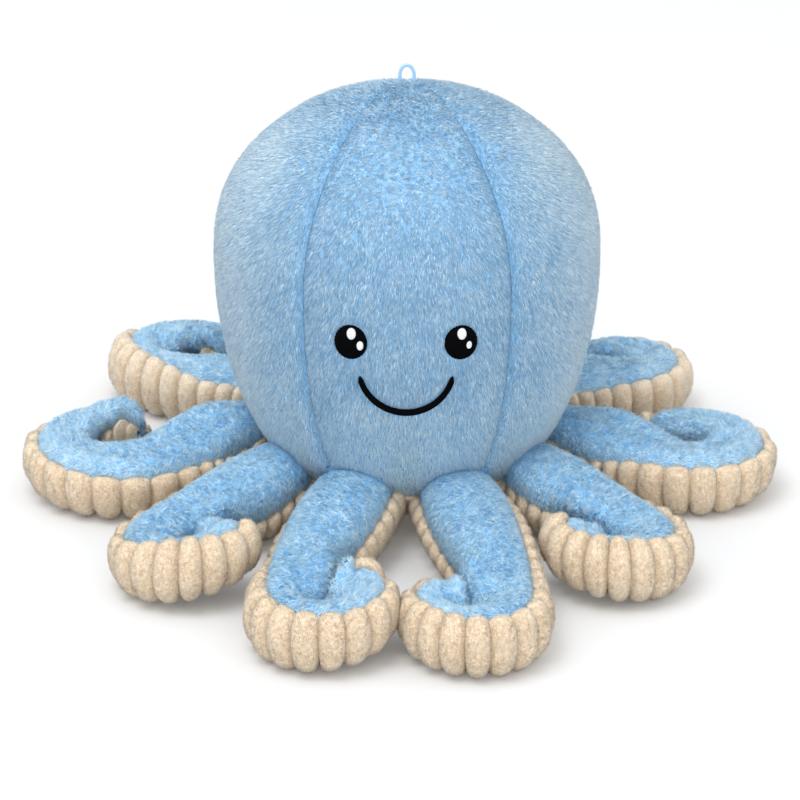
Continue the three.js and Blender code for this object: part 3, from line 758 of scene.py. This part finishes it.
def add_head_pile(name, seams, grid):
    """Pile that is brushed down the head, sideways beyond the face and up in a tuft at the crown."""
    found = Scatter(grid, HEAD_DENSITY * DENSITY, away_from_head)
    clear = face_distance(found.points)
    found.keep(clear > FACE_GAP)
    clear = clear[clear > FACE_GAP]
    points, normals = found.points, found.normals
    bearings, level, radius, aside = head_place(points)
    past_face = np.abs(bearings) - FACE_GORE_ANGLE / 2
    from_seam = seam_distance(found, seams, radius)
    calm = crown_calm(radius)
    low = smooth((PAINTED_LIFT_LEVEL - level) / PAINTED_LIFT_SPREAD)
    tuft = np.exp(-((points[:, 2] - TUFT_HEIGHT) / TUFT_TALL) ** 2 - (points[:, 0] / TUFT_WIDE) ** 2)
    tuft = tuft * (points[:, 1] < TUFT_BACK)

    sideways = unit(np.cross(normals, np.array([0, 0, 1.0])) + 1e-6) * -np.sign(bearings)[:, None]
    sideways *= np.where((sideways[:, 0] * bearings) > 0, 1, -1)[:, None]
    sweep = SWEEP * smooth(past_face / 30) * smooth((aside - 20) / 40)
    tangent = unit(-found.along + sideways * sweep[:, None])
    clump = locks(points, CLUMP, 0.6, 0.3, 11)
    stray = rng.normal(0, 0.14, (found.count, 3)) * (1 + tuft)[:, None]
    tangent = along_surface(unit(tangent + clump * (0.6 + tuft * 2.2)[:, None] + stray), normals)
    rise = HEAD_RISE - 4 * tuft + RISE_SPREAD * noise(points, CLUMP, 41)
    rise = rise + rng.normal(0, 4, found.count)
    directions = risen(tangent, normals, np.clip(rise, 14, 78))

    lengths = rng.uniform(*HEAD_LENGTHS, found.count) * (1 - 0.2 * tuft)
    lengths *= lerp(1 - 0.45 * calm, 1, smooth(from_seam / 4))
    tip_clear = face_distance(points + directions * lengths[:, None])
    short = np.minimum(lengths, np.maximum(clear, 0.4))
    lengths = np.where(tip_clear < 2 * FACE_GAP, short, lengths)

    brushed = points - tangent * (points * tangent).sum(-1, keepdims=True) * 0.72 * (1 - tuft)[:, None]
    tone = HEAD_TONE + 2.7 * noise(brushed, 0.95, 51) + 0.4 * noise(points, 12, 52)
    tone += rng.normal(0, TONE_SPREAD, found.count)
    # Painted highlight: the pile is painted lighter toward the head's sides and back, standing in for
    # the pale sheen rim where the surface turns away
    tone += 1.6 * smooth((np.abs(bearings) - 28) / 45) * smooth((aside - 25) / 45)
    # Painted light: toward the bottom the pile is painted lighter, and some of its fibres take the
    # arms' bluer shades, to make up for the shade under the head
    tone += 0.1 * (1 - smooth((aside - 30) / 50)) + 2.4 * low
    # Painted shade: the pile is painted darker along the seams, where the creases hold shade
    tone -= calm * (0.45 * np.exp(-(from_seam / 4.5) ** 2) + 1.2 * np.exp(-(from_seam / 1.6) ** 2))
    tone = whole_tones(tone)
    tone += TONES * (rng.random(found.count) < PAINTED_LIFT_ARM_SHARE * low)
    widths = fibre_widths(found.count, PILE_WIDTHS)
    pile = fur(f"head_{name}_pile", points, normals, directions, lengths, widths, tone,
               head_pile + arm_pile, PILE_SOFTNESS)
    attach(pile, "head")


def seam_distance(found, seams, radius):
    """Distance of scattered places from the nearer seam of their gore."""
    share = across_gore(found.column)
    return np.minimum(share, 1 - share) * math.radians(seams[1] - seams[0]) * radius


for gore, seams in gore_seams().items():
    add_gore(gore, seams)


# Base panel

BASE_INSET = 0.3
BASE_UNEVENNESS = 0.25
BASE_LIFT = 0.05  # of its sole over the floor


def base_rings(depth, lowest):
    heights = np.concatenate([[0.0], np.linspace(0.6, GORE_FOOT - 0.3, 14)])
    angles, heights = np.meshgrid(np.linspace(0, 360, 120, endpoint=False), heights)
    rings = head_point(angles, level_at(heights), depth)
    rings[..., 2] = np.maximum(rings[..., 2], lowest)
    return rings


def add_base():
    outer = base_rings(BASE_INSET, BASE_LIFT)
    outer = outer + BASE_UNEVENNESS * noise(outer, 5, 71)[..., None] * np.array([1, 1, 0])
    inner = base_rings(PLUSH, PLUSH)
    piece = tube("base_cloth", np.concatenate([outer, inner[::-1]]), [base_skin])
    put_in_place(piece, "head", "base_panel")


add_base()


# Arms

def arm_angles(arm, distance, share, top):
    """Section angles across a panel at distances along the arm, with the scalloped edge."""
    lobe = np.sqrt(np.maximum(0, 1 - (2 * rib_share(arm, distance) - 1) ** 2)) - 0.7
    edge = np.minimum((arm.panel_arc(distance) + SCALLOP * lobe) / 2, CAPPED_ARC / 2)
    low, high = (edge, 360 - edge) if top else (-edge, edge)
    return arm.rolled(distance) + lerp(low, high, share)


def fine_stations(arm, per_rib):
    """Distances along the arm, with as many to each rib, and closer together round the tip."""
    stops = np.concatenate([[-ROOT_TUCK], arm.grooves])
    steps = [np.linspace(a, b, per_rib, endpoint=False) for a, b in zip(stops[:-1], stops[1:])]
    cap = arm.tip_start + TIP_ROUND * np.sin(np.linspace(0, math.pi / 2 * 0.985, 26))
    return np.concatenate([*steps, cap])


def rib_share(arm, distance):
    """How far across its rib each distance lies, from 0 at one groove to 1 at the next."""
    last = [arm.tip_start + TIP_ROUND * 0.72, arm.length + TIP_ROUND * 0.28]
    grooves = np.append(arm.grooves, last)
    index = np.clip(np.searchsorted(grooves, distance, side="right") - 1, 0, len(grooves) - 2)
    low, high = grooves[index], grooves[index + 1]
    share = np.clip((distance - low) / (high - low), 0, 1)
    return np.where(distance < 0, 0.5, share)


def top_crest(arm, distances, shares, edge):
    """How far the top panel's cloth stands out: a puff fills the inner side of the curl."""
    crest = -TOP_INSET - TOP_EDGE_DIP * (1 - smooth(edge / EDGE_DIP_WIDTH))
    inner = smooth((shares - 0.45) / 0.25) * (1 - smooth((shares - 0.82) / 0.18))
    return crest + INNER_BULGE * inner * smooth((distances - arm.reach + 34) / 30)


def rib_crest(arm, distances, edge):
    """How far the underside's cloth stands out: round ribs with round ends, between grooves."""
    along = np.abs(2 * rib_share(arm, distances) - 1)
    puff = np.sqrt(np.maximum(1 - along ** 2, 0))
    puff *= np.sqrt(1 - np.clip(1 - edge / RIB_END, 0, 1) ** 2)
    return lerp(-RIB_SINK, RIB_PUFF, puff)


def panel_grid(arm, top, depth, per_rib=13, columns=41):
    """A panel's corners at a depth, and the distances of their rows along the arm."""
    distance = fine_stations(arm, per_rib)
    even = np.linspace(0, 1, columns)
    shares, distances = np.meshgrid(lerp(even, (1 - np.cos(math.pi * even)) / 2, 0.6), distance)
    angles = arm_angles(arm, distances, shares, top)
    covered = (360 - arm.panel_arc(distances) if top else arm.panel_arc(distances)) / 360
    girth = covered * math.pi * (arm.width(distances) + arm.height(distances)) / 2
    edge = np.minimum(shares, 1 - shares) * girth
    crest = top_crest(arm, distances, shares, edge) if top else rib_crest(arm, distances, edge)
    if depth > 0:
        crest = np.minimum(crest, 0) * 0.5
    points = arm.point(distances, angles, depth, crest)
    if not top and depth == 0:
        points[..., 2] = np.maximum(points[..., 2], RIB_LIFT)
    return outside_head(points, HEAD_INSET + (LINING_TUCK if depth > 0 else HEAD_TUCK)), distance


def away_from_arm(arm):
    """A function that says which way normals have to be turned to leave the arm."""
    def outward(points, normals):
        apart = points[:, None, :2] - arm.places[None, ::8, :2]
        nearest = np.argmin(np.linalg.norm(apart, axis=-1), axis=1) * 8
        middle = arm.places[nearest].copy()
        middle[:, 2] = arm.height(nearest * arm.step) / 2
        return np.where(((points - middle) * normals).sum(-1) > 0, 1.0, -1.0)
    return outward


def bend_arm(piece):
    """Bakes the piece's placement into its mesh."""
    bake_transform(piece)


def panel_scatter(arm, grid, stations, density, least_gap):
    """Random places on a panel that lie further than a gap from the head, and their distances."""
    found = Scatter(grid, density * DENSITY, away_from_arm(arm))
    rows = np.arange(len(stations))
    distance = np.interp(found.row * rows[-1], rows, stations)
    kept = head_gap(found.points) > least_gap
    found.keep(kept)
    return found, distance[kept]


def add_panel(arm, top, cloth, parts, skin):
    """A panel's stuffed cloth, which stands for parts of the arm. Gives its outer grid."""
    grid, stations = panel_grid(arm, top, 0.0)
    lining, _ = panel_grid(arm, top, PLUSH)
    piece = shell(f"arm_{arm.name}_{cloth}", grid, lining, [skin])
    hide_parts(*(f"arm_{arm.name}_{part}" for part in parts))
    bend_arm(piece)
    return grid, stations


def add_top_pile(arm, grid, stations):
    """Tousled pile that leans along the arm, and over the panel's edges toward the ribs."""
    found, distance = panel_scatter(arm, grid, stations, TOP_DENSITY, -PILE_TUCK)
    points, normals, share = found.points, found.normals, found.column
    middle = 1 - np.abs(2 * share - 1)
    inner = smooth((share - 0.42) / 0.25) * smooth((distance - arm.reach) / 20)

    toward_edge = found.across * np.sign(share - 0.5)[:, None]
    tangent = found.along * lerp(0.9, 0.5, middle)[:, None]
    tangent = tangent + toward_edge * lerp(0.75, 0.1, middle)[:, None]
    clump = locks(points, 1.6, 0.9, 0.35, 111)
    stray = rng.normal(0, 0.25, (found.count, 3))
    tangent = along_surface(unit(tangent + clump * lerp(0.7, 1.9, middle)[:, None] + stray), normals)
    rise = lerp(*TOP_RISES, smooth(middle * 1.4)) + 6 * inner
    rise = rise + RISE_SPREAD * noise(points, CLUMP, 141)
    rise = np.clip(rise + rng.normal(0, 5, found.count), 10, 80)
    directions = risen(tangent, normals, rise)

    lengths = rng.uniform(*TOP_LENGTHS, found.count) * (1 + 0.25 * inner)
    lengths = np.minimum(lengths, np.maximum(1.5, head_gap(points) * 1.3 + 1.0))
    tone = TOP_TONE + 2.4 * noise(points, 1.05, 151) + 0.5 * noise(points, 14, 152)
    tone += rng.normal(0, TONE_SPREAD, found.count)
    tone += 1.2 * (1 - middle) ** 1.5 + 0.5 * smooth((distance - arm.reach) / 30)
    # Painted shade: the arms' pile is painted darker near the head, where the head shades it
    tone -= 1.2 * (1 - smooth(head_gap(points) / 10))
    widths = fibre_widths(found.count, PILE_WIDTHS)
    pile = fur(f"arm_{arm.name}_pile", points, normals, directions, lengths, widths,
               whole_tones(tone), arm_pile, PILE_SOFTNESS)
    bend_arm(pile)


def add_nap(arm, grid, stations):
    """Short nap on the ribs, with the flecks of a coarse knit and painted shade in the grooves."""
    found, distance = panel_scatter(arm, grid, stations, NAP_DENSITY, NAP_GAP)
    points, normals = found.points, found.normals
    place = rib_share(arm, distance)
    groove = np.exp(-(np.minimum(place, 1 - place) / 0.1) ** 2)

    tangent = found.across * np.where(found.column > 0.5, 1, -1)[:, None]
    tangent = tangent + noise_vector(points, 2.0, 211)
    tangent = unit(tangent + rng.normal(0, 0.3, (found.count, 3)))
    directions = risen(tangent, normals, rng.normal(NAP_RISE, 10, found.count).clip(25, 85))
    lengths = rng.uniform(*NAP_LENGTHS, found.count) * lerp(1, 0.4, groove)
    directions[:, 2] = np.maximum(directions[:, 2], (FLOOR_GAP - points[:, 2]) / lengths)

    knit = np.cos(2 * math.pi * found.column * KNIT_COLUMNS)
    knit = knit * np.cos(2 * math.pi * place * KNIT_ROWS)
    patch = smooth(noise(points, 9, 233) * 0.8 + 0.5)
    patch = patch * np.exp(-((np.abs(place - 0.5) - 0.17) / 0.2) ** 2)
    fleck = patch * (1.3 * (knit > 0.1) + np.maximum(0, noise(points, 0.9, 232)) * 1.6)
    # Painted light: the ribs' nap is painted lighter toward the back, which gets less light
    tone = lerp(NAP_TONE, NAP_BACK_PAINTED_TONE, smooth((points[:, 1] + 60) / 130))
    tone = tone + 1.2 * noise(points, 0.8, 231)
    # Painted shade: the nap is painted darker in the grooves between the ribs
    tone = tone + rng.normal(0, 0.5, found.count) - fleck - 3.0 * groove
    widths = fibre_widths(found.count, NAP_WIDTHS)
    pile = fur(f"arm_{arm.name}_nap", points, normals, directions, lengths, widths,
               whole_tones(tone), rib_pile, NAP_SOFTNESS)
    bend_arm(pile)


for name in ARMS:
    arm = Arm(name)
    top = add_panel(arm, True, "fleece", ("top", "stuffing"), arm_skin)
    add_top_pile(arm, *top)
    underside = add_panel(arm, False, "ribs", ("underside",), rib_skin)
    add_nap(arm, *underside)


# Face

THREAD = 0.5  # width of a thread of the highlights and the smile
EYE_THREAD = 0.55
EYE_LEVELS = (-1.8, 1.7)  # of a stitched oval's edge and middle, over the head's surface
HIGHLIGHT_LEVELS = (1.1, 2.1)
SPARK_LEVELS = (0.9, 1.9)
EYE_SLANT = 0.25  # of the threads, in radians
HIGHLIGHT_SLANT = -0.35
THREAD_RIDGE = 0.16
OVAL_BASE = 0.4  # thickness under an oval's edge
SMILE_RISE = 1.7
SMILE_SINK = 0.3
SMILE_RIDGE = 0.09


def face_point(angle, height, right, above, lift):
    """A point over the head's surface, to the right of a bearing and above a height."""
    level = level_at(height + above)
    radius = head_outline(level, 0.0)[0]
    return head_point(angle + np.degrees(right / radius), level, -lift)


def stitched_oval(node_name, angle, place, size, levels, thread, slant, material):
    """A domed oval of satin stitch, whose threads lie side by side."""
    rings, sides = 26, 96
    share = np.sin(np.linspace(0, math.pi / 2, rings))[:, None] * np.ones((1, sides))
    turn = np.linspace(0, 2 * math.pi, sides, endpoint=False)[None, :] * np.ones((rings, 1))
    ragged = 1 + 0.02 * np.sin(turn * 31) * share ** 8
    x = share * np.cos(turn) * size[0] / 2 * ragged
    y = share * np.sin(turn) * size[1] / 2 * ragged
    lane = (x * math.sin(slant) + y * math.cos(slant)) / thread
    ridge = np.abs(np.sin(math.pi * lane)) ** 0.7 * THREAD_RIDGE
    dome = np.sqrt(np.maximum(0, 1 - share ** 4))
    right, above = place[0] + x, place[1] + y
    lift = lerp(levels[0], levels[1], dome) + ridge * dome
    top = face_point(angle, EYE_HEIGHT, right, above, lift)
    under = face_point(angle, EYE_HEIGHT, right, above, np.full_like(x, levels[0] - OVAL_BASE))
    piece = tube(f"{node_name}_stitches", np.concatenate([top, under[::-1]]), [material])
    put_in_place(piece, "head", node_name)


for side, angle in EYE_ANGLES.items():
    stitched_oval(f"eye_{side}", angle, (0, 0), (EYE_WIDTH, EYE_TALL),
                  EYE_LEVELS, EYE_THREAD, EYE_SLANT, thread_black)
    stitched_oval(f"eye_{side}_highlight", angle, (HIGHLIGHT_SHIFTS[side], HIGHLIGHT_RISE),
                  (HIGHLIGHT_WIDTH, HIGHLIGHT_TALL), HIGHLIGHT_LEVELS, THREAD, HIGHLIGHT_SLANT,
                  thread_white)
    stitched_oval(f"eye_{side}_spark", angle, (SPARK_SHIFTS[side], 0),
                  (SPARK_WIDTH, SPARK_TALL), SPARK_LEVELS, THREAD, HIGHLIGHT_SLANT, thread_white)


def add_smile():
    """A raised line of satin stitch along an arc."""
    steps, sides = 420, 20
    along = np.linspace(-1, 1, steps)[:, None]
    turn = np.linspace(0, 2 * math.pi, sides, endpoint=False)[None, :]
    angle = np.radians(SMILE_SPREAD * along)
    half = SMILE_WIDTH / 2 * np.sqrt(np.clip((1 - np.abs(along)) * 14, 0.05, 1))
    lane = (angle * SMILE_RADIUS + np.cos(turn) * half * 0.7) / THREAD
    ridge = 1 + SMILE_RIDGE * (np.abs(np.sin(math.pi * lane)) - 0.5)
    rise = SMILE_RISE * ridge * np.sqrt(half / (SMILE_WIDTH / 2))
    radius = SMILE_RADIUS + np.cos(turn) * half * ridge
    rings = face_point(np.zeros_like(radius), EYE_HEIGHT - SMILE_DROP,
                       SMILE_SHIFT + radius * np.sin(angle), SMILE_RADIUS - radius * np.cos(angle),
                       np.sin(turn) * rise - SMILE_SINK)
    piece = tube("smile_stitches", rings, [thread_black])
    put_in_place(piece, "head", "smile")


add_smile()


# Hanging loop

LOOP_WIDTH = 8.7  # outside
LOOP_HEIGHT = 6.6
LOOP_STANDOFF = 0.3  # the loop's height is measured from this far over the crown
LOOP_ROOT = 2.0  # depth of its feet in the pile
CORD_DIAMETER = 1.6
CORD_PITCH = 3.2  # of the cord's twist
LOOP_FOOT_SHARE = 0.88  # how close the feet come together, of the loop's width
LOOP_BOW_SHARE = 1.06


def add_loop():
    """A loop of twisted cord on the crown."""
    crown = head_point(np.array(0.0), np.array(90.0), 0.0)
    half = (LOOP_WIDTH - CORD_DIAMETER) / 2
    foot = crown[2] - LOOP_ROOT
    top = crown[2] + LOOP_STANDOFF + LOOP_HEIGHT - CORD_DIAMETER / 2
    share = np.linspace(0, 1, 220)
    bow = np.sin(math.pi * share)
    x = -half * np.cos(math.pi * share) * lerp(LOOP_FOOT_SHARE, LOOP_BOW_SHARE, bow ** 0.6)
    z = foot + (top - foot) * bow ** 0.72
    path = np.stack([x, np.full_like(x, crown[1]), z], -1)
    side = np.array([0.0, 1.0, 0.0]) * np.ones_like(path)
    up = np.cross(unit(np.gradient(path, axis=0)), side)
    steps = np.linalg.norm(np.diff(path, axis=0), axis=1)
    travelled = np.concatenate([[0], np.cumsum(steps)])
    turn = np.linspace(0, 2 * math.pi, 18, endpoint=False)[None, :]
    twist = 2 * math.pi * travelled[:, None] / CORD_PITCH
    radius = CORD_DIAMETER / 2 * (0.9 + 0.13 * np.abs(np.cos(turn - twist)))
    rings = (path[:, None] + side[:, None] * (np.cos(turn) * radius)[..., None]
             + up[:, None] * (np.sin(turn) * radius)[..., None])
    piece = tube("loop_cord", rings, [cord_cloth])
    put_in_place(piece, "loop", "hanging_loop")


add_loop()


# Stage, light and camera, in metres

CAMERA_ELEVATION = 23.0
CAMERA_DISTANCE = 1.7
CAMERA_LENS = 166.32
CAMERA_TARGET = Vector((-0.0032, 0.0, 0.0429))
LAMP_TARGET = Vector((0, 0, 0.08))
FLOOR_SIZE = 6.0
# The floor's paint is a little blue and its glow warm, so the lit floor shows white and its shadow a
# painted warm light, standing for light thrown back from the cream undersides
FLOOR_COLOUR = (0.62, 0.635, 0.65, 1)
FLOOR_DARK = (0.615, 0.63, 0.645, 1)
FLOOR_LIGHT = (0.625, 0.64, 0.655, 1)
FLOOR_GLOW = 0.1  # that only the camera sees
SHADOW_WARMING_GLOW_COLOUR = (1, 0.9, 0.8, 1)
WORLD_STRENGTH = 1.2


def add_stage():
    """A floor that looks as white as the background and keeps the toy's shadow, with a painted warm
    light in it.
    """
    corners = np.array([[-1, -1, 0], [1, -1, 0], [1, 1, 0], [-1, 1, 0]]) * FLOOR_SIZE / 2 / MM
    material = new_material("floor_paint", FLOOR_COLOUR, 0.9, specular=0.0)
    shader = material.node_tree.nodes["Principled BSDF"]
    grain = node(material, "ShaderNodeTexNoise", Scale=3.0, Detail=2.0)
    ramp = node(material, "ShaderNodeValToRGB")
    ramp.color_ramp.elements[0].color = FLOOR_DARK
    ramp.color_ramp.elements[1].color = FLOOR_LIGHT
    link(material, grain.outputs["Fac"], ramp.inputs["Fac"])
    link(material, ramp.outputs["Color"], shader.inputs["Base Color"])
    sight = node(material, "ShaderNodeLightPath")
    glow = node(material, "ShaderNodeEmission", Color=SHADOW_WARMING_GLOW_COLOUR)
    lift = node(material, "ShaderNodeMath", operation="MULTIPLY")
    lift.inputs[1].default_value = FLOOR_GLOW
    link(material, sight.outputs["Is Camera Ray"], lift.inputs[0])
    link(material, lift.outputs["Value"], glow.inputs["Strength"])
    added = node(material, "ShaderNodeAddShader")
    link(material, shader.outputs["BSDF"], added.inputs[0])
    link(material, glow.outputs["Emission"], added.inputs[1])
    output = material.node_tree.nodes["Material Output"]
    link(material, added.outputs["Shader"], output.inputs["Surface"])
    floor = add_mesh("floor", corners, np.array([[0, 1, 2, 3]]), [material])


def add_world():
    """Even light, and a plain white for the camera and for reflections."""
    world = bpy.data.worlds.new("studio")
    bpy.context.scene.world = world
    world.use_nodes = True
    background = world.node_tree.nodes["Background"]
    background.inputs["Color"].default_value = (1, 1, 1, 1)
    sight = node(world, "ShaderNodeLightPath")
    seen = node(world, "ShaderNodeMath", operation="MAXIMUM")
    link(world, sight.outputs["Is Camera Ray"], seen.inputs[0])
    link(world, sight.outputs["Is Glossy Ray"], seen.inputs[1])
    mixed = node(world, "ShaderNodeMix", data_type="FLOAT", A=WORLD_STRENGTH, B=1.0)
    link(world, seen.outputs["Value"], mixed.inputs["Factor"])
    link(world, mixed.outputs["Result"], background.inputs["Strength"])


def add_lamp(name, place, size, power):
    lamp = bpy.data.lights.new(name, "AREA")
    lamp.shape = "SQUARE"
    lamp.size = size
    lamp.energy = power
    holder = bpy.data.objects.new(name, lamp)
    bpy.context.scene.collection.objects.link(holder)
    holder.location = place
    holder.rotation_euler = facing(place, LAMP_TARGET)


def facing(place, target):
    return (target - Vector(place)).to_track_quat("-Z", "Y").to_euler()


def add_camera():
    elevation = math.radians(CAMERA_ELEVATION)
    camera = bpy.data.objects.new("camera", bpy.data.cameras.new("camera"))
    bpy.context.scene.collection.objects.link(camera)
    camera.data.lens = CAMERA_LENS
    camera.data.sensor_width = 36
    camera.data.clip_end = 20
    back = Vector((0, -math.cos(elevation), math.sin(elevation)))
    camera.location = CAMERA_TARGET + back * CAMERA_DISTANCE
    camera.rotation_euler = facing(camera.location, CAMERA_TARGET)
    bpy.context.scene.camera = camera


add_stage()
add_world()
add_lamp("key", (-0.5, -0.5, 1.8), 1.0, 16)
add_lamp("fill", (0.3, -3.0, 0.25), 1.8, 36)
add_camera()
bpy.context.scene.view_settings.view_transform = "Standard"
